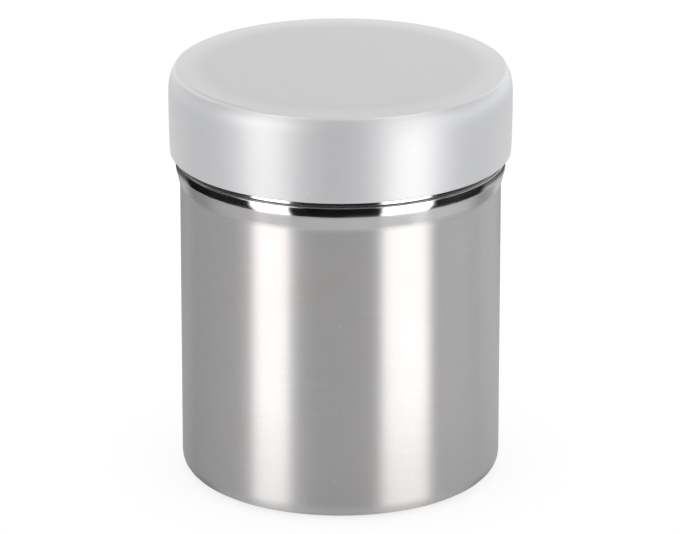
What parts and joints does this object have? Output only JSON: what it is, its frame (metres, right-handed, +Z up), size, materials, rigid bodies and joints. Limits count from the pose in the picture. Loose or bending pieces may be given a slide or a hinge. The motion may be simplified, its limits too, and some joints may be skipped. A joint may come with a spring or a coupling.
{
  "type": "spice shaker",
  "caption": "Cylindrical stainless shaker with a screw-on pierced sieve top and a frosted push-on cap.",
  "frame": {"origin": "centre of the foot ring, on the surface that the shaker stands on", "axes": "+Z up along the shaker's axis, towards the cap; +X and +Y are free, since the outside is round"},
  "size_m": [0.0748, 0.0748, 0.0922],
  "materials": {
    "brushed_can": "stainless steel, fine brush lines round the wall",
    "polished_collar": "mirror-polished stainless steel",
    "sieve_steel": "satin stainless sheet",
    "soft_seal": "matt white silicone",
    "frosted_cap": "satin frosted plastic with a soft sheen"
  },
  "bodies": {
    "can": {"can_body": "brushed_can"},
    "seal": {"mouth_gasket": "soft_seal"},
    "sieve_top": {"sieve_collar": "polished_collar", "sieve_plate": "sieve_steel", "sieve_clamp_ring": "sieve_steel"},
    "cap": {"snap_cap": "frosted_cap"}
  },
  "joints": [
    {"name": "collar_rise", "type": "slide", "parent": "can", "child": "seal", "axis": [0, 0, 1], "range_m": [0, 0.0048]},
    {"name": "collar_turn", "type": "hinge", "parent": "seal", "child": "sieve_top", "pos_m": [0, 0, 0.08], "axis": [0, 0, 1], "range_deg": [0, 540]},
    {"name": "cap_lift", "type": "slide", "parent": "sieve_top", "child": "cap", "axis": [0, 0, 1], "range_m": [0, 0.03]}
  ],
  "couplings": [
    {"joint": "collar_rise", "follows": "collar_turn", "m_per_rad": 0.00050929}
  ]
}
